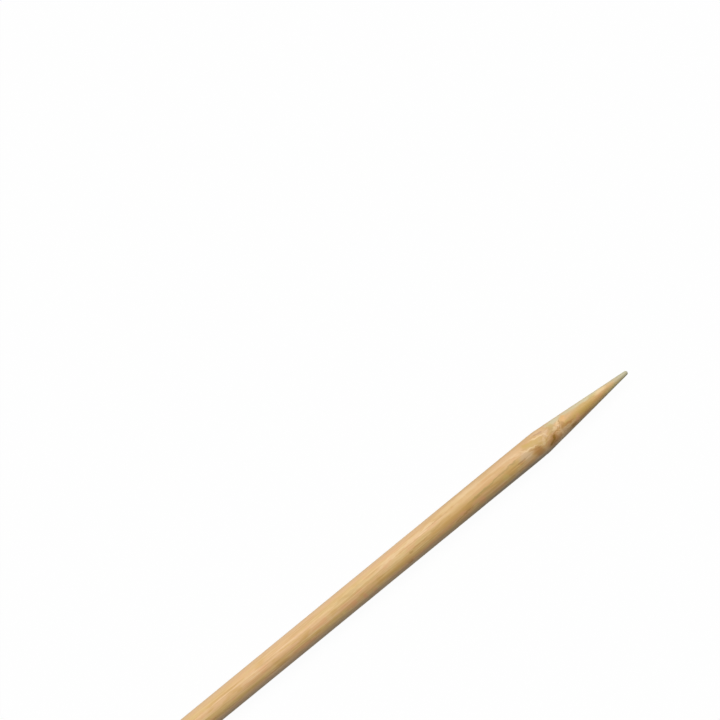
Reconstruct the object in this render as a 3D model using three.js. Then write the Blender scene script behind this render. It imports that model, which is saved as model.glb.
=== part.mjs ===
// A round bamboo skewer: one straight split-bamboo rod, milled round, with one end ground to a point.
// Units are millimetres. The rod lies along +X with +Z up, and the origin is at the centre of the flat
// butt face, so the shank runs from x = 0 towards the tip at x = LENGTH.
import * as THREE from 'three';

// Driving dimensions

const LENGTH = 300; // butt face to the very end of the tip
const DIAMETER = 5; // milled round shank
const POINT_LENGTH = 21.3; // shoulder corner to the very end of the tip
const TIP_RADIUS = 0.43; // the ground point ends in a small blunt round
const SHOULDER_RADIUS = 12; // soft corner where the point meets the shank, seen from the side
const BUTT_EDGE_RADIUS = 0.2; // sawn edge, worn round by tumbling

// How finely the round stretches are divided

const SIDES = 64; // around the rod
const BUTT_EDGE_STEPS = 3;
const SHOULDER_STEPS = 4;
const TIP_STEPS = 5;

// Outline of one side of the rod, as points (radius, distance from the butt face)

// Points along an arc, where an angle of 0 faces straight out from the axis and 90 degrees faces the tip.
function arc(centreRadius, centreAlong, radius, startAngle, endAngle, steps) {
  const points = [];
  for (let step = 0; step <= steps; step += 1) {
    const angle = startAngle + ((endAngle - startAngle) * step) / steps;
    const across = centreRadius + radius * Math.cos(angle);
    const along = centreAlong + radius * Math.sin(angle);
    points.push(new THREE.Vector2(across, along));
  }
  return points;
}

// The point's flank is a straight line from the shoulder corner that just touches the tip's round end.
function flankSlope() {
  const toTipCentre = POINT_LENGTH - TIP_RADIUS;
  const shankRadius = DIAMETER / 2;
  const lineToCentre = Math.atan2(shankRadius, toTipCentre);
  const reach = Math.hypot(shankRadius, toTipCentre);
  return lineToCentre - Math.asin(TIP_RADIUS / reach);
}

function buttEdge() {
  const centreRadius = DIAMETER / 2 - BUTT_EDGE_RADIUS;
  return arc(centreRadius, BUTT_EDGE_RADIUS, BUTT_EDGE_RADIUS, -Math.PI / 2, 0, BUTT_EDGE_STEPS);
}

function shoulder(slope) {
  const corner = LENGTH - POINT_LENGTH;
  const setback = SHOULDER_RADIUS * Math.tan(slope / 2);
  const centreRadius = DIAMETER / 2 - SHOULDER_RADIUS;
  return arc(centreRadius, corner - setback, SHOULDER_RADIUS, 0, slope, SHOULDER_STEPS);
}

function roundTip(slope) {
  const points = arc(0, LENGTH - TIP_RADIUS, TIP_RADIUS, slope, Math.PI / 2, TIP_STEPS);
  points[points.length - 1].x = 0; // the last point lies exactly on the axis
  return points;
}

function outline() {
  const slope = flankSlope();
  const buttCentre = new THREE.Vector2(0, 0);
  return [buttCentre, ...buttEdge(), ...shoulder(slope), ...roundTip(slope)];
}

// Bamboo, dry and unfinished

const bamboo = new THREE.MeshStandardMaterial({
  name: 'bamboo',
  color: 0xd2b27b,
  roughness: 0.65,
  metalness: 0,
});

// The skewer

function makeSkewer() {
  const geometry = new THREE.LatheGeometry(outline(), SIDES);
  geometry.rotateZ(-Math.PI / 2); // the lathe turns about Y, and the rod lies along X
  const mesh = new THREE.Mesh(geometry, bamboo);
  mesh.name = 'skewer';
  return mesh;
}

const model = new THREE.Group();
model.name = 'bamboo_skewer';
model.add(makeSkewer());

export default model;
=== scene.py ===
import math
from collections import namedtuple

import bpy
import numpy as np
from mathutils import Matrix, Vector


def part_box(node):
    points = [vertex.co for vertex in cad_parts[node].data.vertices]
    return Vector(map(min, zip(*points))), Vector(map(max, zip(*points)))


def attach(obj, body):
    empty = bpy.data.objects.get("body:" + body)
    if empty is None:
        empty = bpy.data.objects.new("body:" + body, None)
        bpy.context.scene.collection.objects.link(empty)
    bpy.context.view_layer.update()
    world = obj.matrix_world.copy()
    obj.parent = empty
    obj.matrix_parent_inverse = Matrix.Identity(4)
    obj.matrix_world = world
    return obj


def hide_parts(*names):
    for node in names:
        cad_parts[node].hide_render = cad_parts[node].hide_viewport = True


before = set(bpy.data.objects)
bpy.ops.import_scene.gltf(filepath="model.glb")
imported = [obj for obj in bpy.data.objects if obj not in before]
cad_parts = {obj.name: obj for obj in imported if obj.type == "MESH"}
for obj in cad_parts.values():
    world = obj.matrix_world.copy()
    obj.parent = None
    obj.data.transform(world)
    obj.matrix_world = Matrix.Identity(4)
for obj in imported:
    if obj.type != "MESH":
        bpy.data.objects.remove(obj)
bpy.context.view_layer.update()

# The CAD model's box, before anything is added

# Sizes of the skewer, in metres. Its length and thickness come from the frame.

MM = 0.001
NODE = "skewer"
BODY = "root"
LOW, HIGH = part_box(NODE)
LENGTH = HIGH.x - LOW.x
SHANK_RADIUS = (HIGH.z - LOW.z) / 2
POINT_LENGTH = 21.3 * MM
TIP_RADIUS = 0.43 * MM
SHOULDER_RADIUS = 12 * MM
BUTT_EDGE_RADIUS = 0.2 * MM

# What the photograph measures, in pixels of its 720 x 720 frame

PHOTO_SIDE = 720
PHOTO_CENTRE = PHOTO_SIDE / 2
FOCAL_PIXELS = 700
SHANK_PIXELS = 26.2
TIP_PIXEL = Vector((627.15, 371.8))

# How the camera stands: leaning from straight down, and rolled about its own line of sight

CAMERA_LEAN = math.radians(34)
CAMERA_ROLL = math.radians(39.27)

# The camera's own values: millimetres for the sensor, metres for the nearest and farthest it sees

SENSOR_WIDTH = 36
CLIP_NEAR = 0.01
CLIP_FAR = 20


# Camera


def camera_axes():
    """The camera's forward, right and up directions."""
    forward = Vector((0, math.sin(CAMERA_LEAN), -math.cos(CAMERA_LEAN)))
    level_right = Vector((1, 0, 0))
    level_up = Vector((0, math.cos(CAMERA_LEAN), math.sin(CAMERA_LEAN)))
    right = math.cos(CAMERA_ROLL) * level_right - math.sin(CAMERA_ROLL) * level_up
    up = math.sin(CAMERA_ROLL) * level_right + math.cos(CAMERA_ROLL) * level_up
    return forward, right, up


def add_camera():
    """Puts the camera where the tip and the shank's width fall as they do in the photograph."""
    forward, right, up = camera_axes()
    depth = FOCAL_PIXELS * 2 * SHANK_RADIUS / SHANK_PIXELS
    tip_right = (TIP_PIXEL.x - PHOTO_CENTRE) / FOCAL_PIXELS * depth
    tip_up = (PHOTO_CENTRE - TIP_PIXEL.y) / FOCAL_PIXELS * depth
    tip = Vector((HIGH.x, 0, 0))
    place = tip - depth * forward - tip_right * right - tip_up * up
    data = bpy.data.cameras.new("camera")
    data.sensor_width = SENSOR_WIDTH
    data.lens = SENSOR_WIDTH * FOCAL_PIXELS / PHOTO_SIDE
    data.clip_start = CLIP_NEAR
    data.clip_end = CLIP_FAR
    camera = bpy.data.objects.new("camera", data)
    turned = Matrix((right, up, -forward)).transposed().to_4x4()
    camera.matrix_world = Matrix.Translation(place) @ turned
    bpy.context.scene.collection.objects.link(camera)
    bpy.context.scene.camera = camera


add_camera()


# The skewer's surface: rings of points from the butt's centre to the tip. A finer step lies where the
# bamboo's joint crosses the rod.

SIDES = 288
CAP_RINGS = 12
EDGE_STEPS = 4
SHANK_STEP = 1.9 * MM
JOINT_STRETCH = 8 * MM
JOINT_STEP = 0.32 * MM
SHOULDER_STEPS = 6
POINT_STEP = 0.3 * MM
TIP_STEPS = 7


def arc(centre_along, centre_radius, radius, start, end, steps):
    """Rings (place along the rod, radius) on an arc, where 90 degrees faces the tip."""
    angles = [start + (end - start) * step / steps for step in range(steps + 1)]
    return [
        (centre_along + radius * math.sin(a), centre_radius + radius * math.cos(a))
        for a in angles
    ]


def between(start, end, step):
    """Rings on a straight stretch between two rings, without those two."""
    count = max(1, round((end[0] - start[0]) / step))
    shares = [k / count for k in range(1, count)]
    return [
        (start[0] + (end[0] - start[0]) * s, start[1] + (end[1] - start[1]) * s)
        for s in shares
    ]


def flank_slope():
    """The angle between the point's straight flank and the axis."""
    along = POINT_LENGTH - TIP_RADIUS
    reach = math.hypot(along, SHANK_RADIUS)
    return math.atan2(SHANK_RADIUS, along) - math.asin(TIP_RADIUS / reach)


def rings():
    """Every ring of the surface, from the butt's centre outwards and then along to the tip."""
    slope = flank_slope()
    flat = SHANK_RADIUS - BUTT_EDGE_RADIUS
    cap = [(0, flat * k / CAP_RINGS) for k in range(1, CAP_RINGS)]
    edge = arc(BUTT_EDGE_RADIUS, flat, BUTT_EDGE_RADIUS, -math.pi / 2, 0, EDGE_STEPS)
    corner = LENGTH - POINT_LENGTH
    setback = SHOULDER_RADIUS * math.tan(slope / 2)
    centre = SHANK_RADIUS - SHOULDER_RADIUS
    shoulder = arc(corner - setback, centre, SHOULDER_RADIUS, 0, slope, SHOULDER_STEPS)
    tip = arc(LENGTH - TIP_RADIUS, 0, TIP_RADIUS, slope, math.pi / 2, TIP_STEPS)[:-1]
    joint_start = (corner - JOINT_STRETCH, SHANK_RADIUS)
    shank = between(edge[-1], joint_start, SHANK_STEP) + [joint_start]
    joint = between(joint_start, shoulder[0], JOINT_STEP)
    flank = between(shoulder[-1], tip[0], POINT_STEP)
    return cap + edge + shank + joint + shoulder + flank + tip


# Relief of the surface, always inwards, so that the rod stays inside its true size


def soft_noise(along, around, cells, seed):
    """Smooth noise from 0 to 1 on a grid of cells that closes on itself around the rod."""
    cells_along, cells_around = cells
    grid = np.random.default_rng(seed).random((cells_along + 2, cells_around))
    u = np.clip(along, 0, 1) * cells_along
    v = (around % 1) * cells_around
    u0 = np.minimum(u.astype(int), cells_along)
    v0 = v.astype(int) % cells_around
    fu = u - u0
    fv = v - np.floor(v)
    fu = fu * fu * (3 - 2 * fu)
    fv = fv * fv * (3 - 2 * fv)
    v1 = (v0 + 1) % cells_around
    near = grid[u0, v0] * (1 - fv) + grid[u0, v1] * fv
    far = grid[u0 + 1, v0] * (1 - fv) + grid[u0 + 1, v1] * fv
    return near * (1 - fu) + far * fu


# Each layer of fibre relief: its cells along and around the rod, its depth, and its seed

FIBRE_LAYERS = [
    ((14, 5), 0.016 * MM, 11),
    ((26, 22), 0.012 * MM, 12),
    ((60, 70), 0.012 * MM, 13),
    ((110, 130), 0.006 * MM, 14),
]

# Open grooves, only where their noise comes near its top

GROOVE_CELLS = (34, 90)
GROOVE_FROM = 0.86
GROOVE_DEPTH = 0.05 * MM
GROOVE_SEED = 20


def fibre_relief(along, around):
    """Depth of the lengthwise fibre relief, with a few deeper open grooves."""
    depth = np.zeros_like(along)
    for cells, layer_depth, seed in FIBRE_LAYERS:
        depth += layer_depth * soft_noise(along, around, cells, seed)
    groove = soft_noise(along, around, GROOVE_CELLS, GROOVE_SEED)
    openness = np.clip((groove - GROOVE_FROM) / (1 - GROOVE_FROM), 0, 1)
    return depth + GROOVE_DEPTH * openness


# The bamboo's joint: its middle in millimetres from the tip, and its relief, which is a coarse swirl
# and a finer ripple. The noise covers a stretch of JOINT_SPAN half lengths.

JOINT_MIDDLE = 19.0
JOINT_HALF = 4.2 * MM
JOINT_DEPTH = 0.05 * MM
JOINT_SPAN = 6
SWIRL_CELLS = (26, 16)
SWIRL_SHARE = 0.65
SWIRL_SEED = 31
RIPPLE_CELLS = (60, 34)
RIPPLE_SHARE = 0.35
RIPPLE_SEED = 32


def joint_relief(x, around):
    """Depth of the uneven grain where the bamboo's joint crosses the rod."""
    offset = (x - (HIGH.x - JOINT_MIDDLE * MM)) / JOINT_HALF
    weight = np.exp(-offset * offset)
    along = np.clip(offset / JOINT_SPAN + 0.5, 0, 1)
    swirl = soft_noise(along, around, SWIRL_CELLS, SWIRL_SEED)
    ripple = soft_noise(along, around, RIPPLE_CELLS, RIPPLE_SEED)
    return JOINT_DEPTH * weight * (SWIRL_SHARE * swirl + RIPPLE_SHARE * ripple)


# The sawn butt: slanting saw marks on a rough ground

SAW_DEPTH = 0.03 * MM
SAW_PITCH = 0.42 * MM
SAW_SLANT = 0.25
SAW_SHARE = 0.45
ROUGH_SHARE = 0.55
ROUGH_CELLS = (18, 18)
ROUGH_SEED = 5


def saw_relief(y, z, radius):
    """Depth of the sawn butt's marks, fading out at its rounded edge."""
    marks = 0.5 + 0.5 * np.sin(2 * math.pi * (z + SAW_SLANT * y) / SAW_PITCH)
    across = y / SHANK_RADIUS / 2 + 0.5
    upwards = z / SHANK_RADIUS / 2 + 0.5
    rough = soft_noise(across, upwards, ROUGH_CELLS, ROUGH_SEED)
    fade = np.clip((SHANK_RADIUS - BUTT_EDGE_RADIUS - radius) / BUTT_EDGE_RADIUS, 0, 1)
    return SAW_DEPTH * fade * (SAW_SHARE * marks + ROUGH_SHARE * rough)


def surface_points():
    """The points of all the rings, one row for each ring."""
    shape = np.array(rings())
    x = np.repeat(shape[:, :1], SIDES, axis=1)
    radius = np.repeat(shape[:, 1:], SIDES, axis=1)
    around = np.repeat(np.arange(SIDES)[None, :] / SIDES, len(shape), axis=0)
    angle = 2 * math.pi * around
    on_cap = x <= 0
    share = np.clip(radius / SHANK_RADIUS, 0, 1)
    relief = (fibre_relief(x / LENGTH, around) + joint_relief(x, around)) * share
    radius = np.where(on_cap, radius, radius - relief)
    y = radius * np.sin(angle)
    z = radius * np.cos(angle)
    x = np.where(on_cap, saw_relief(y, z, radius), x)
    return np.stack([x + LOW.x, y, z], axis=2)


def ring_faces(ring_count):
    """Quads between neighbouring rings, and a fan of triangles at each end."""
    faces = []
    for ring in range(ring_count - 1):
        for side in range(SIDES):
            after = (side + 1) % SIDES
            here = ring * SIDES
            there = here + SIDES
            faces.append((here + side, here + after, there + after, there + side))
    butt_centre = ring_count * SIDES
    tip_end = butt_centre + 1
    last = (ring_count - 1) * SIDES
    for side in range(SIDES):
        after = (side + 1) % SIDES
        faces.append((butt_centre, after, side))
        faces.append((tip_end, last + side, last + after))
    return faces


def make_skewer():
    """The skewer as one closed mesh."""
    points = surface_points()
    verts = points.reshape(-1, 3).tolist()
    verts.append((LOW.x + SAW_DEPTH / 2, 0, 0))
    verts.append((HIGH.x, 0, 0))
    mesh = bpy.data.meshes.new("bamboo_skewer")
    mesh.from_pydata(verts, [], ring_faces(len(points)))
    mesh.validate()
    mesh.shade_smooth()
    piece = bpy.data.objects.new("bamboo_skewer", mesh)
    bpy.context.scene.collection.objects.link(piece)
    return piece


# Material

# The colour sockets of a Mix node, among those for its other kinds of data

MIX_FACTOR = 0
MIX_FIRST = 6
MIX_SECOND = 7
MIX_RESULT = 2


class Wiring:
    """Short forms for adding nodes to one node tree. A value is a number, a colour or a socket."""

    def __init__(self, tree):
        self.tree = tree

    def node(self, kind, **settings):
        """A new node with these settings."""
        made = self.tree.nodes.new(kind)
        for name, value in settings.items():
            setattr(made, name, value)
        return made

    def feed(self, socket, value):
        """Links another socket to this one, or sets this one's own value."""
        if isinstance(value, bpy.types.NodeSocket):
            self.tree.links.new(value, socket)
        elif value is not None:
            socket.default_value = value

    def math(self, operation, a, b=None, c=None):
        """The result of one operation on up to three values."""
        made = self.node("ShaderNodeMath", operation=operation)
        for socket, value in zip(made.inputs, (a, b, c)):
            self.feed(socket, value)
        return made.outputs[0]

    def vector(self, x, y, z):
        """A vector of three values."""
        made = self.node("ShaderNodeCombineXYZ")
        for socket, value in zip(made.inputs, (x, y, z)):
            self.feed(socket, value)
        return made.outputs[0]

    def noise(self, vector, scale, detail=2.0, roughness=0.5, distortion=0.0):
        """Soft noise, mostly between 0.3 and 0.7."""
        made = self.node("ShaderNodeTexNoise")
        self.feed(made.inputs["Vector"], vector)
        made.inputs["Scale"].default_value = scale
        made.inputs["Detail"].default_value = detail
        made.inputs["Roughness"].default_value = roughness
        made.inputs["Distortion"].default_value = distortion
        return made.outputs["Fac"]

    def cells(self, vector, scale, randomness):
        """Distance to the nearest of many scattered points."""
        made = self.node("ShaderNodeTexVoronoi", feature="F1")
        self.feed(made.inputs["Vector"], vector)
        made.inputs["Scale"].default_value = scale
        made.inputs["Randomness"].default_value = randomness
        return made.outputs["Distance"]

    def spread(self, value, low, high, to_low=0.0, to_high=1.0, smooth=True):
        """A value's range from low to high, spread over another range and held at its ends."""
        kind = "SMOOTHSTEP" if smooth else "LINEAR"
        made = self.node("ShaderNodeMapRange", interpolation_type=kind)
        self.feed(made.inputs["Value"], value)
        self.feed(made.inputs["From Min"], low)
        self.feed(made.inputs["From Max"], high)
        made.inputs["To Min"].default_value = to_low
        made.inputs["To Max"].default_value = to_high
        return made.outputs["Result"]

    def mix(self, factor, a, b, blend="MIX"):
        """Two colours mixed."""
        made = self.node("ShaderNodeMix", data_type="RGBA", blend_type=blend)
        made.clamp_factor = True
        self.feed(made.inputs[MIX_FACTOR], factor)
        self.feed(made.inputs[MIX_FIRST], a)
        self.feed(made.inputs[MIX_SECOND], b)
        return made.outputs[MIX_RESULT]


# Colours of the bamboo, as linear albedo, and of the painted highlight, sheen, reflected light and
# shade laid on it

STRAW = (0.74, 0.475, 0.2, 1)
DEEPER = (0.92, 0.89, 0.81, 1)
PINK_TAN = (0.74, 0.425, 0.205, 1)
YELLOW_TAN = (0.66, 0.45, 0.14, 1)
CREAM = (0.86, 0.62, 0.33, 1)
PEACH = (0.76, 0.43, 0.155, 1)
SALMON = (0.75, 0.37, 0.165, 1)
OCHRE = (0.55, 0.325, 0.095, 1)
GOLD = (0.64, 0.375, 0.1, 1)
HONEY = (0.58, 0.37, 0.085, 1)
OLIVE = (0.47, 0.3, 0.085, 1)
GREEN_TINT = (0.62, 0.47, 0.15, 1)
# Pale green: painted highlight on the point's far flank, and painted reflected floor light on its near
# edge by the tip
PAINTED_LIGHT_GREEN = (0.66, 0.61, 0.4, 1)
BROWN = (0.34, 0.16, 0.005, 1)
LIGHT_BROWN = (0.5, 0.24, 0.06, 1)
MAUVE = (0.52, 0.3, 0.165, 1)
LILAC_GREY = (0.68, 0.47, 0.28, 1)
# Rose: painted sheen, the paler pinkish band along the far upper side
SHEEN_ROSE = (0.77, 0.52, 0.29, 1)
TIP_GREY = (0.52, 0.49, 0.32, 1)
# Painted reflected floor light on the near underside: paler and greyer than the straw
UNDERSIDE_REFLECTION = (0.59, 0.46, 0.3, 1)
# Painted shade for the near lower rim
SHADE = (0.42, 0.33, 0.22, 1)
PORE = (0.2, 0.11, 0.045, 1)
BUTT_TONE = (0.6, 0.42, 0.2, 1)

# Marks of the grain, and a few of painted highlight, sheen, reflected light and shade, one each:
# millimetres from the tip, degrees round from the top towards the near side, half length and half
# width in millimetres, tilt in degrees, colour and strength

MARKS = [
    # The point: golden, with a painted highlight in pale green on its far side
    (10.5, -38, 6.2, 0.5, 0, PAINTED_LIGHT_GREEN, 0.8),
    (11.0, -17, 4.4, 0.42, 0, PAINTED_LIGHT_GREEN, 0.3),
    # Painted reflected floor light: a paler near edge by the tip
    (2.6, 84, 3.0, 0.31, 0, PAINTED_LIGHT_GREEN, 0.85),
    (4.0, 55, 2.4, 0.31, 0, GREEN_TINT, 0.5),
    (11.8, 68, 4.0, 0.35, 0, LIGHT_BROWN, 0.45),
    (6.5, -13, 1.4, 0.4, 0, CREAM, 0.7),
    (4.4, 8, 1.1, 0.31, 0, PEACH, 0.45),
    (11.2, 19, 3.2, 0.8, 0, HONEY, 0.85),
    (8.2, -20, 1.0, 0.3, 0, GREEN_TINT, 0.6),
    (7.8, 50, 1.6, 0.4, 0, LIGHT_BROWN, 0.25),
    (8.7, 66, 1.5, 0.35, 0, GREEN_TINT, 0.5),
    (13.0, 46, 0.7, 0.5, 50, SALMON, 0.5),
    (14.5, 68, 0.7, 0.4, 0, BROWN, 0.6),
    # A pale orange peak with a brown streak below it
    (15.7, 18, 0.9, 0.85, 90, HONEY, 0.7),
    (16.3, 20, 0.9, 0.45, 45, LIGHT_BROWN, 0.65),
    (15.4, -12, 0.85, 0.6, 90, PEACH, 0.9),
    (16.1, 45, 0.9, 0.42, 0, LILAC_GREY, 0.5),
    (15.1, 32, 1.1, 0.24, 0, LIGHT_BROWN, 0.9),
    # The joint's wavy grain from the point's far side down to the dark spot, after a painted highlight
    # in pale green on the far side
    (17.2, -36, 1.6, 0.6, 0, PAINTED_LIGHT_GREEN, 0.75),
    (17.2, -21, 1.5, 0.38, 0, PAINTED_LIGHT_GREEN, 0.35),
    (18.3, -1, 0.8, 0.7, 90, OLIVE, 0.75),
    (18.2, -26, 0.8, 0.5, 90, GREEN_TINT, 0.35),
    (16.9, -4, 0.95, 0.17, 43, CREAM, 0.5),
    (16.6, 4, 1.15, 0.1, 52, BROWN, 0.5),
    (18.0, 8, 0.42, 0.36, 0, CREAM, 0.6),
    (17.5, 20, 0.5, 0.1, 75, BROWN, 0.55),
    (18.2, 25, 0.65, 0.13, 4, LIGHT_BROWN, 0.9),
    (17.0, 40, 1.0, 0.25, 70, CREAM, 0.3),
    (19.3, 59, 1.6, 0.8, 0, LIGHT_BROWN, 0.75),
    (19.2, 47, 1.0, 0.8, 38, LIGHT_BROWN, 0.8),
    (19.15, 43, 0.7, 0.29, 38, BROWN, 0.95),
    (19.5, 63, 0.5, 0.12, 30, BROWN, 0.5),
    (20.0, 55, 0.6, 0.24, 40, BROWN, 0.9),
    (19.9, 4, 0.7, 0.2, -55, CREAM, 0.35),
    (21.0, 26, 0.75, 0.3, 65, CREAM, 0.45),
    # Behind the joint: waves of ochre between cream lines, after a painted sheen in rose on the far
    # side
    (20.9, -38, 1.3, 0.45, 0, SHEEN_ROSE, 0.7),
    (20.9, -24, 0.95, 0.2, -5, MAUVE, 0.7),
    (22.4, 0, 1.7, 0.48, -8, HONEY, 0.85),
    (24.1, -6, 1.1, 0.52, -38, HONEY, 0.85),
    (21.5, -9, 1.9, 0.16, -14, CREAM, 0.6),
    (25.2, 27, 1.4, 0.9, 0, LILAC_GREY, 0.7),
    (22.9, 42, 1.0, 1.0, 75, LIGHT_BROWN, 0.85),
    (22.3, 30, 0.55, 0.18, 20, BROWN, 0.4),
    (23.6, 23, 0.7, 0.12, -20, LIGHT_BROWN, 0.6),
    (23.4, 14, 1.35, 0.15, -9, CREAM, 0.6),
    (25.1, 2, 0.95, 0.2, -32, CREAM, 0.45),
    (26.9, -7, 1.2, 0.28, -10, CREAM, 0.45),
    (26.8, 36, 0.9, 0.28, 0, LIGHT_BROWN, 0.55),
    (23.5, 71, 0.8, 0.3, 0, LILAC_GREY, 0.5),
    (26.1, 72, 0.6, 0.35, 0, MAUVE, 0.4),
    (28.7, 66, 0.5, 0.4, 0, LILAC_GREY, 0.5),
    # Painted shade along the near lower rim, behind the joint
    (28.5, 86, 9.0, 0.5, 0, SHADE, 0.8),
    # The shank: a painted sheen in rose on its far side, a long thin line, then golden and pinkish
    # patches
    (29.0, -24, 4.2, 0.7, 0, SHEEN_ROSE, 0.6),
    (37.5, -26, 3.4, 0.7, 0, SHEEN_ROSE, 0.6),
    (28.6, 20, 1.8, 0.45, 0, HONEY, 0.5),
    (37.5, 4, 9.0, 0.75, 0, GOLD, 0.35),
    (41.0, -20, 5.0, 0.6, 0, CREAM, 0.45),
    (28.1, 14, 0.7, 0.22, 0, OLIVE, 0.55),
    (30.4, 16, 3.2, 0.16, 3, OLIVE, 0.6),
    (36.4, 24, 4.2, 0.19, 3, OLIVE, 0.85),
    (29.7, 36, 1.6, 0.6, 0, GOLD, 0.55),
    (30.7, 42, 0.6, 0.45, 0, GREEN_TINT, 0.5),
    (36.9, 56, 0.8, 0.55, 0, SALMON, 0.7),
    (43.3, 30, 5.0, 0.7, 0, GOLD, 0.6),
    (40.9, 52.5, 2.5, 0.17, 5, LIGHT_BROWN, 0.65),
    (41.3, 43, 0.8, 0.3, 0, SALMON, 0.5),
    (46.9, 18, 1.5, 0.15, 0, OCHRE, 0.6),
    (47.8, -12, 1.4, 0.25, 0, CREAM, 0.55),
    (51.3, -7, 3.0, 0.34, 0, CREAM, 0.5),
    (57.0, -5, 3.0, 0.34, 0, CREAM, 0.5),
    (50.2, 25, 0.9, 0.14, 0, OCHRE, 0.8),
    (52.0, 27, 1.0, 0.13, 0, LIGHT_BROWN, 0.5),
    (53.5, 30.5, 0.6, 0.17, 0, OCHRE, 0.95),
    (57.2, 45, 4.5, 0.55, 0, GOLD, 0.55),
    (54.6, 65, 0.6, 0.35, 0, LIGHT_BROWN, 0.65),
    (63.1, 62, 0.5, 0.3, 0, SALMON, 0.6),
    (65.2, 56, 0.5, 0.6, 0, SALMON, 0.7),
    (67.5, 48, 0.5, 0.5, 0, SALMON, 0.55),
    (67.7, 2, 3.0, 0.35, 0, OLIVE, 0.35),
]

# How far out each kind of mark is at full strength and gone, as squares of shares of its half size.
# A mark wider than PATCH_FROM, in millimetres of its half width, is a patch, and any other is a line.

LINE_EDGES = (0.3, 1.5)
PATCH_EDGES = (0.0, 2.0)
PATCH_FROM = 0.3

# Each roughening of a mark's place: its amount, and the scale of its noise

MARK_WARP_ALONG = (1.2, 0.8)
MARK_WARP_ROUND = (0.32, 1.1)

# What each kind of streak is drawn with: scales along and across the fibres, detail, and a shift that
# keeps the kinds apart

STREAKS = {
    "broad": (0.045, 0.5, 2.0, 0.0),
    "patches": (0.24, 0.9, 2.0, 41.0),
    "middle": (0.05, 2.1, 3.0, 7.0),
    "fine": (0.13, 4.6, 3.0, 17.0),
    "vessels": (0.06, 1.1, 1.0, 31.0),
    "relief": (0.3, 9.0, 2.0, 23.0),
}
STREAK_ROUGHNESS = 0.6

# The broad streaks turn the straw colour to a pinkish or a yellowish tan

TAN_SPREAD = (0.4, 0.6)
TAN_SHARE = 0.55

# The other streaks' tones, laid over it in this order: kind, where in the noise the tone starts and is
# full, strength and colour

STREAK_TONES = [
    ("patches", 0.52, 0.66, 0.65, GOLD),
    ("patches", 0.48, 0.36, 0.55, SALMON),
    ("middle", 0.52, 0.7, 0.6, OCHRE),
    ("middle", 0.48, 0.3, 0.6, CREAM),
    ("fine", 0.5, 0.7, 0.5, OCHRE),
    ("fine", 0.46, 0.29, 0.48, CREAM),
]

# Painted light on the sides: a painted sheen in rose on the far upper side, and painted reflected
# floor light, paler and greyer,
# on the near underside. Each: angle of the side's middle, cosine from there at which the tone starts,
# strength and colour

PAINTED_SIDE_LIGHT = [
    (math.radians(-65), 0.45, 0.75, SHEEN_ROSE),
    (math.radians(115), 0.5, 0.75, UNDERSIDE_REFLECTION),
]

# How the fibres run: a slow drift along the rod, and a swirl at the joint. Reaches are in millimetres.

DRIFT_SCALE = 0.012
DRIFT_REACH = 3.0
DRIFT_SHIFT_Y = (0.0, 3.0)
DRIFT_SHIFT_Z = (9.0, 0.0)
SWIRL_SCALE = 0.42
SWIRL_REACH = 3.4

# The vessels cut open along the rod, seen as thin dark lines

VESSEL_STRETCH = 0.02
VESSEL_SCALE = 1.5
VESSEL_RANDOMNESS = 0.85
VESSEL_LINE = (0.2, 0.07)
VESSEL_SHOWN = (0.5, 0.62)
VESSEL_STRENGTH = 0.35

# The joint's tones: how far it reaches in millimetres, then for its waves and its patches the stretch
# along the rod and the noise's scale, detail, roughness and distortion, then for each tone where in
# the noise it starts and is full, and its strength

JOINT_REACH = 5.5
JOINT_WAVE_STRETCH = 0.55
JOINT_WAVE = (0.75, 2.0, 0.55, 0.8)
JOINT_PATCH_STRETCH = 0.8
JOINT_PATCH = (1.15, 2.0, 0.6, 0.4)
JOINT_PALE = (0.5, 0.62, 0.4)
JOINT_GREY = (0.48, 0.36, 0.5)
JOINT_DARK = (0.58, 0.7, 0.6)

# The point's grey end: where it starts and is full, in millimetres from the tip, its strength, and the
# amount and scale of its ragged edge

TIP_GREY_START = 7.2
TIP_GREY_FULL = 0.4
TIP_GREY_STRENGTH = 0.95
TIP_WARP = (2.0, 1.6)

# The bamboo is deeper in tone near the point, and gets paler between these millimetres from the tip

PALER_FROM = 36
PALER_TO = 58

# End grain: where it starts and is full, in millimetres from the butt, its rays and its pores, and how
# much closer together the pores get for each millimetre towards the bamboo's skin side

BUTT_REACH = (0.16, 0.06)
RAY_SCALE = 6.0
RAY_DETAIL = 3.0
RAY_SPREAD = (0.35, 0.65, 0.0, 0.5)
PORE_SCALE = 2.6
PORE_RANDOMNESS = 0.7
PORE_EDGE = (0.34, 0.2)
PORE_STRENGTH = 0.85
PORE_CROWDING = 0.17

# The finest relief, which only bends the light: shares of the fibres, the grit and the open vessels

BUMP_STRENGTH = 0.35
BUMP_DISTANCE = 0.03 * MM
BUMP_FIBRES = 0.7
BUMP_GRIT = 0.15
BUMP_VESSELS = 0.4
GRIT_SCALE = 9.0
GRIT_DETAIL = 3.0

# The surface's gloss: the noise's range, spread over this range of roughness, and the specular level

ROUGHNESS_SPREAD = (0.3, 0.7, 0.5, 0.66)
SPECULAR_LEVEL = 0.75

MM_PER_METRE = 1000

# Where a point of the surface lies, in millimetres. The angle runs from the top to the near side.
Places = namedtuple("Places", ("from_tip", "angle", "radius", "x", "y", "z"))


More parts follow.
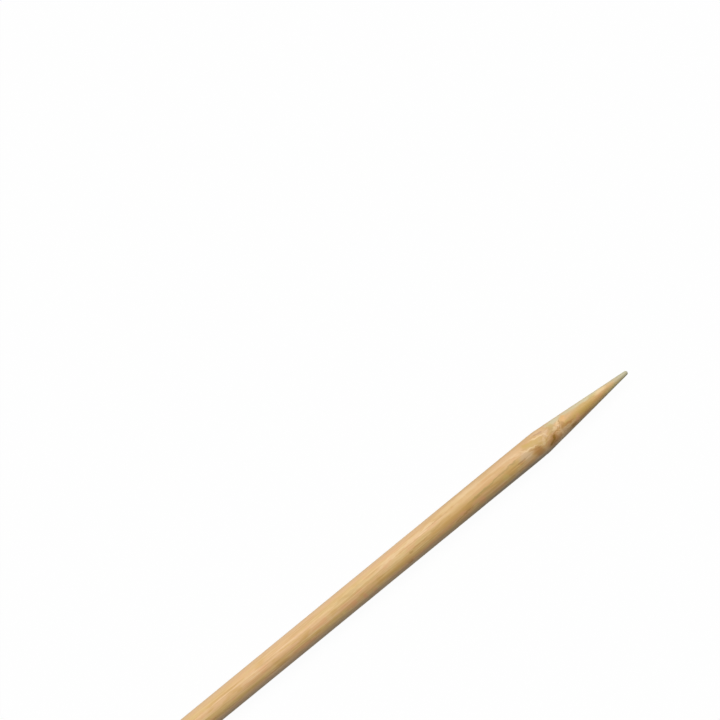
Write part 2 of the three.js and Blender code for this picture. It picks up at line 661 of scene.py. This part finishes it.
def rod_places(wiring):
    """Where each point of the surface lies on the rod."""
    place = wiring.node("ShaderNodeTexCoord").outputs["Object"]
    scaled = wiring.node("ShaderNodeVectorMath", operation="SCALE")
    wiring.feed(scaled.inputs[0], place)
    scaled.inputs["Scale"].default_value = MM_PER_METRE
    parts = wiring.node("ShaderNodeSeparateXYZ")
    wiring.feed(parts.inputs[0], scaled.outputs[0])
    x, y, z = parts.outputs
    from_tip = wiring.math("SUBTRACT", HIGH.x * MM_PER_METRE, x)
    angle = wiring.math("ARCTAN2", wiring.math("MULTIPLY", y, -1.0), z)
    y_square = wiring.math("MULTIPLY", y, y)
    z_square = wiring.math("MULTIPLY", z, z)
    radius = wiring.math("SQRT", wiring.math("ADD", y_square, z_square))
    return Places(from_tip, angle, radius, x, y, z)


MARK_INPUTS = (
    "Along",
    "Angle",
    "Radius",
    "Middle",
    "Round",
    "Half length",
    "Half width",
    "Tilt",
    "Full",
    "Gone",
)


def make_mark_group():
    """A node group that gives the soft outline of one long mark on the rod's surface."""
    tree = bpy.data.node_groups.new("grain_mark", "ShaderNodeTree")
    for name in MARK_INPUTS:
        tree.interface.new_socket(name, in_out="INPUT", socket_type="NodeSocketFloat")
    tree.interface.new_socket("Mask", in_out="OUTPUT", socket_type="NodeSocketFloat")
    wiring = Wiring(tree)
    given = wiring.node("NodeGroupInput").outputs
    along = wiring.math("SUBTRACT", given["Along"], given["Middle"])
    turned = wiring.math("SUBTRACT", given["Angle"], given["Round"])
    across = wiring.math("MULTIPLY", turned, given["Radius"])
    cosine = wiring.math("COSINE", given["Tilt"])
    sine = wiring.math("SINE", given["Tilt"])
    along_cosine = wiring.math("MULTIPLY", along, cosine)
    along_sine = wiring.math("MULTIPLY", along, sine)
    across_cosine = wiring.math("MULTIPLY", across, cosine)
    lengthwise = wiring.math("MULTIPLY_ADD", across, sine, along_cosine)
    sideways = wiring.math("SUBTRACT", across_cosine, along_sine)
    u = wiring.math("DIVIDE", lengthwise, given["Half length"])
    v = wiring.math("DIVIDE", sideways, given["Half width"])
    u_square = wiring.math("MULTIPLY", u, u)
    v_square = wiring.math("MULTIPLY", v, v)
    square = wiring.math("ADD", u_square, v_square)
    mask = wiring.spread(square, given["Gone"], given["Full"])
    wiring.feed(wiring.node("NodeGroupOutput").inputs["Mask"], mask)
    return tree


def add_marks(wiring, colour, along, angle, radius):
    """Lays every mark over the colour."""
    group = make_mark_group()
    for middle, round_degrees, half_length, half_width, tilt, tone, strength in MARKS:
        full, gone = PATCH_EDGES if half_width > PATCH_FROM else LINE_EDGES
        values = (
            along,
            angle,
            radius,
            middle,
            math.radians(round_degrees),
            half_length,
            half_width,
            math.radians(tilt),
            full,
            gone,
        )
        made = wiring.node("ShaderNodeGroup", node_tree=group)
        for name, value in zip(MARK_INPUTS, values):
            wiring.feed(made.inputs[name], value)
        factor = wiring.math("MULTIPLY", made.outputs["Mask"], strength)
        colour = wiring.mix(factor, colour, tone)
    return colour


def joint_weight(wiring, from_tip):
    """1 at the middle of the bamboo's joint, falling to 0 on both sides of it."""
    offset = wiring.math("ABSOLUTE", wiring.math("SUBTRACT", from_tip, JOINT_MIDDLE))
    return wiring.spread(offset, JOINT_REACH, 0.0)


def fibre_space(wiring, places, joint):
    """Coordinates that follow the fibres, which swirl where the joint crosses the rod."""
    x, y, z = places.x, places.y, places.z
    slow_x = wiring.math("MULTIPLY", x, DRIFT_SCALE)
    swirl_reach = wiring.math("MULTIPLY", joint, SWIRL_REACH)
    moved = []
    for axis, drift_shift, swirl_order in (
        (y, DRIFT_SHIFT_Y, (x, y, z)),
        (z, DRIFT_SHIFT_Z, (z, x, y)),
    ):
        drift = wiring.noise(wiring.vector(slow_x, *drift_shift), 1.0, 1.0)
        swirl = wiring.noise(wiring.vector(*swirl_order), SWIRL_SCALE, 1.0)
        slow = wiring.math("MULTIPLY_ADD", drift, DRIFT_REACH, axis)
        turn = wiring.math("MULTIPLY", wiring.math("SUBTRACT", swirl, 0.5), swirl_reach)
        moved.append(wiring.math("ADD", slow, turn))
    return moved


def streaks(wiring, x, fibres, kind):
    """Lengthwise streaks of one kind: noise drawn out along the fibres."""
    along_scale, across_scale, detail, shift = STREAKS[kind]
    fibre_y, fibre_z = fibres
    place = wiring.vector(
        wiring.math("MULTIPLY_ADD", x, along_scale, shift),
        wiring.math("MULTIPLY", fibre_y, across_scale),
        wiring.math("MULTIPLY", fibre_z, across_scale),
    )
    return wiring.noise(place, 1.0, detail, STREAK_ROUGHNESS)


def bamboo_colour(wiring, places, fibres):
    """Base colour of the bamboo, with a painted sheen on its far upper side and painted reflected
    light on its near underside.
    """
    kinds = ("broad", "patches", "middle", "fine")
    noises = {kind: streaks(wiring, places.x, fibres, kind) for kind in kinds}
    tan = wiring.mix(wiring.spread(noises["broad"], *TAN_SPREAD), PINK_TAN, YELLOW_TAN)
    colour = wiring.mix(TAN_SHARE, STRAW, tan)
    for kind, start, full, strength, tone in STREAK_TONES:
        factor = wiring.spread(noises[kind], start, full, 0.0, strength)
        colour = wiring.mix(factor, colour, tone)
    # Painted sheen on the far upper side and painted reflected light on the near underside
    for middle, start, strength, tone in PAINTED_SIDE_LIGHT:
        facing = wiring.math("COSINE", wiring.math("SUBTRACT", places.angle, middle))
        colour = wiring.mix(wiring.spread(facing, start, 1.0, 0.0, strength), colour, tone)
    deep = wiring.spread(places.from_tip, PALER_TO, PALER_FROM)
    return wiring.mix(deep, colour, DEEPER, blend="MULTIPLY")


def vessel_lines(wiring, x, fibres):
    """Thin dark lines where the vessels of the bamboo are cut open along the rod."""
    place = wiring.vector(wiring.math("MULTIPLY", x, VESSEL_STRETCH), *fibres)
    distance = wiring.cells(place, VESSEL_SCALE, VESSEL_RANDOMNESS)
    line = wiring.spread(distance, *VESSEL_LINE)
    shown = wiring.spread(streaks(wiring, x, fibres, "vessels"), *VESSEL_SHOWN)
    return wiring.math("MULTIPLY", line, shown)


def joint_tones(wiring, colour, places, joint):
    """The wavy pale and dark tones of the joint, all the way round the rod."""
    x, y, z = places.x, places.y, places.z
    wave_x = wiring.math("MULTIPLY", x, JOINT_WAVE_STRETCH)
    wave = wiring.noise(wiring.vector(wave_x, y, z), *JOINT_WAVE)
    patch_x = wiring.math("MULTIPLY", x, JOINT_PATCH_STRETCH)
    patch = wiring.noise(wiring.vector(patch_x, z, y), *JOINT_PATCH)
    inner = wiring.math("POWER", joint, 2.0)
    for noise, weight, (start, full, strength), tone in (
        (wave, joint, JOINT_PALE, CREAM),
        (wave, joint, JOINT_GREY, LILAC_GREY),
        (patch, inner, JOINT_DARK, LIGHT_BROWN),
    ):
        shown = wiring.math("MULTIPLY", wiring.spread(noise, start, full), weight)
        colour = wiring.mix(wiring.math("MULTIPLY", shown, strength), colour, tone)
    return colour


def warped(wiring, value, place, warp):
    """A coordinate roughened by noise."""
    amount, scale = warp
    noise = wiring.noise(place, scale)
    return wiring.math("MULTIPLY_ADD", wiring.math("SUBTRACT", noise, 0.5), amount, value)


def tip_tone(wiring, colour, from_tip, place):
    """The greyed, handled end of the point."""
    ragged = warped(wiring, from_tip, place, TIP_WARP)
    factor = wiring.spread(ragged, TIP_GREY_START, TIP_GREY_FULL, 0.0, TIP_GREY_STRENGTH)
    return wiring.mix(factor, colour, TIP_GREY)


def butt_tone(wiring, colour, places):
    """End grain on the sawn butt, its pores closer together towards the top, the skin side."""
    x, y, z = places.x, places.y, places.z
    on_face = wiring.spread(x, *BUTT_REACH)
    squeeze_y = wiring.math("MULTIPLY_ADD", z, PORE_CROWDING, 1.0)
    squeeze_z = wiring.math("MULTIPLY_ADD", z, PORE_CROWDING / 2, 1.0)
    crowded_y = wiring.math("MULTIPLY", y, squeeze_y)
    crowded_z = wiring.math("MULTIPLY", z, squeeze_z)
    pores = wiring.cells(wiring.vector(0.0, crowded_y, crowded_z), PORE_SCALE, PORE_RANDOMNESS)
    dots = wiring.spread(pores, *PORE_EDGE)
    rays = wiring.noise(wiring.vector(0.0, y, z), RAY_SCALE, RAY_DETAIL)
    face = wiring.mix(wiring.spread(rays, *RAY_SPREAD), BUTT_TONE, OCHRE)
    face = wiring.mix(wiring.math("MULTIPLY", dots, PORE_STRENGTH), face, PORE)
    return wiring.mix(on_face, colour, face)


def full_colour(wiring, places, place, fibres, joint, lines):
    """The bamboo's colour with its vessels, joint, grey tip, marks (painted highlight, sheen,
    reflected light and shade among them) and sawn butt.
    """
    colour = bamboo_colour(wiring, places, fibres)
    colour = wiring.mix(wiring.math("MULTIPLY", lines, VESSEL_STRENGTH), colour, LIGHT_BROWN)
    colour = joint_tones(wiring, colour, places, joint)
    colour = tip_tone(wiring, colour, places.from_tip, place)
    along = warped(wiring, places.from_tip, place, MARK_WARP_ALONG)
    angle = warped(wiring, places.angle, place, MARK_WARP_ROUND)
    colour = add_marks(wiring, colour, along, angle, places.radius)
    return butt_tone(wiring, colour, places)


def add_bump(wiring, place, fine, lines):
    """The normal, bent by fine fibres, grit and open vessels."""
    grit = wiring.noise(place, GRIT_SCALE, GRIT_DETAIL)
    fibre_height = wiring.math("MULTIPLY", fine, BUMP_FIBRES)
    grit_height = wiring.math("MULTIPLY", grit, BUMP_GRIT)
    vessel_depth = wiring.math("MULTIPLY", lines, BUMP_VESSELS)
    height = wiring.math("ADD", fibre_height, grit_height)
    height = wiring.math("SUBTRACT", height, vessel_depth)
    bump = wiring.node("ShaderNodeBump")
    bump.inputs["Strength"].default_value = BUMP_STRENGTH
    bump.inputs["Distance"].default_value = BUMP_DISTANCE
    wiring.feed(bump.inputs["Height"], height)
    return bump.outputs["Normal"]


def bamboo_material():
    """Dry split bamboo, milled round."""
    material = bpy.data.materials.new("bamboo")
    material.use_nodes = True
    tree = material.node_tree
    tree.nodes.clear()
    wiring = Wiring(tree)
    places = rod_places(wiring)
    place = wiring.vector(places.x, places.y, places.z)
    joint = joint_weight(wiring, places.from_tip)
    fibres = fibre_space(wiring, places, joint)
    lines = vessel_lines(wiring, places.x, fibres)
    fine = streaks(wiring, places.x, fibres, "relief")
    colour = full_colour(wiring, places, place, fibres, joint, lines)
    shader = wiring.node("ShaderNodeBsdfPrincipled")
    wiring.feed(shader.inputs["Base Color"], colour)
    wiring.feed(shader.inputs["Roughness"], wiring.spread(fine, *ROUGHNESS_SPREAD))
    wiring.feed(shader.inputs["Normal"], add_bump(wiring, place, fine, lines))
    shader.inputs["Specular IOR Level"].default_value = SPECULAR_LEVEL
    wiring.feed(wiring.node("ShaderNodeOutputMaterial").inputs["Surface"], shader.outputs[0])
    return material


skewer = make_skewer()
skewer.data.materials.append(bamboo_material())
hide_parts(NODE)
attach(skewer, BODY)


# Floor, light and background. Albedos and strengths are plain numbers, and the side is in metres.

FLOOR_SIDE = 6.0
FLOOR_ALBEDO = 0.45
FLOOR_GLOW = 1.027
FLOOR_GLOW_SHARE = 0.94
KEY_LEAN = math.radians(16)
KEY_SPREAD = math.radians(44)
KEY_STRENGTH = 2.82
AMBIENT = 0.17
BACKDROP = 0.99


def floor_material():
    """Plain matt white, mostly with its own glow, so that the skewer's shadow stays faint."""
    material = bpy.data.materials.new("floor")
    material.use_nodes = True
    tree = material.node_tree
    tree.nodes.clear()
    wiring = Wiring(tree)
    matt = wiring.node("ShaderNodeBsdfDiffuse")
    matt.inputs["Color"].default_value = (FLOOR_ALBEDO, FLOOR_ALBEDO, FLOOR_ALBEDO, 1)
    glow = wiring.node("ShaderNodeEmission")
    glow.inputs["Strength"].default_value = FLOOR_GLOW
    seen = wiring.node("ShaderNodeLightPath").outputs["Is Camera Ray"]
    mixed = wiring.node("ShaderNodeMixShader")
    wiring.feed(mixed.inputs[0], wiring.math("MULTIPLY", seen, FLOOR_GLOW_SHARE))
    wiring.feed(mixed.inputs[1], matt.outputs[0])
    wiring.feed(mixed.inputs[2], glow.outputs[0])
    wiring.feed(wiring.node("ShaderNodeOutputMaterial").inputs["Surface"], mixed.outputs[0])
    return material


def add_floor():
    """A plain pale floor that the skewer lies on."""
    half = FLOOR_SIDE / 2
    corners = [(-half, -half), (half, -half), (half, half), (-half, half)]
    middle = (LOW + HIGH) / 2
    verts = [(middle.x + x, middle.y + y, LOW.z) for x, y in corners]
    mesh = bpy.data.meshes.new("floor")
    mesh.from_pydata(verts, [], [(0, 1, 2, 3)])
    floor = bpy.data.objects.new("floor", mesh)
    bpy.context.scene.collection.objects.link(floor)
    mesh.materials.append(floor_material())


def add_key_light():
    """One wide soft light from above, leaning from the far side."""
    data = bpy.data.lights.new("key", "SUN")
    data.energy = KEY_STRENGTH
    data.angle = KEY_SPREAD
    light = bpy.data.objects.new("key", data)
    light.rotation_euler = (-KEY_LEAN, 0, 0)
    bpy.context.scene.collection.objects.link(light)


def add_world():
    """A faint even fill, behind a pale backdrop."""
    world = bpy.data.worlds.new("world")
    bpy.context.scene.world = world
    world.use_nodes = True
    tree = world.node_tree
    tree.nodes.clear()
    wiring = Wiring(tree)
    seen = wiring.node("ShaderNodeLightPath").outputs["Is Camera Ray"]
    strength = wiring.spread(seen, 0.0, 1.0, AMBIENT, BACKDROP, smooth=False)
    background = wiring.node("ShaderNodeBackground")
    background.inputs["Color"].default_value = (1, 1, 1, 1)
    wiring.feed(background.inputs["Strength"], strength)
    wiring.feed(wiring.node("ShaderNodeOutputWorld").inputs["Surface"], background.outputs[0])


add_floor()
add_key_light()
add_world()
bpy.context.scene.view_settings.view_transform = "Standard"
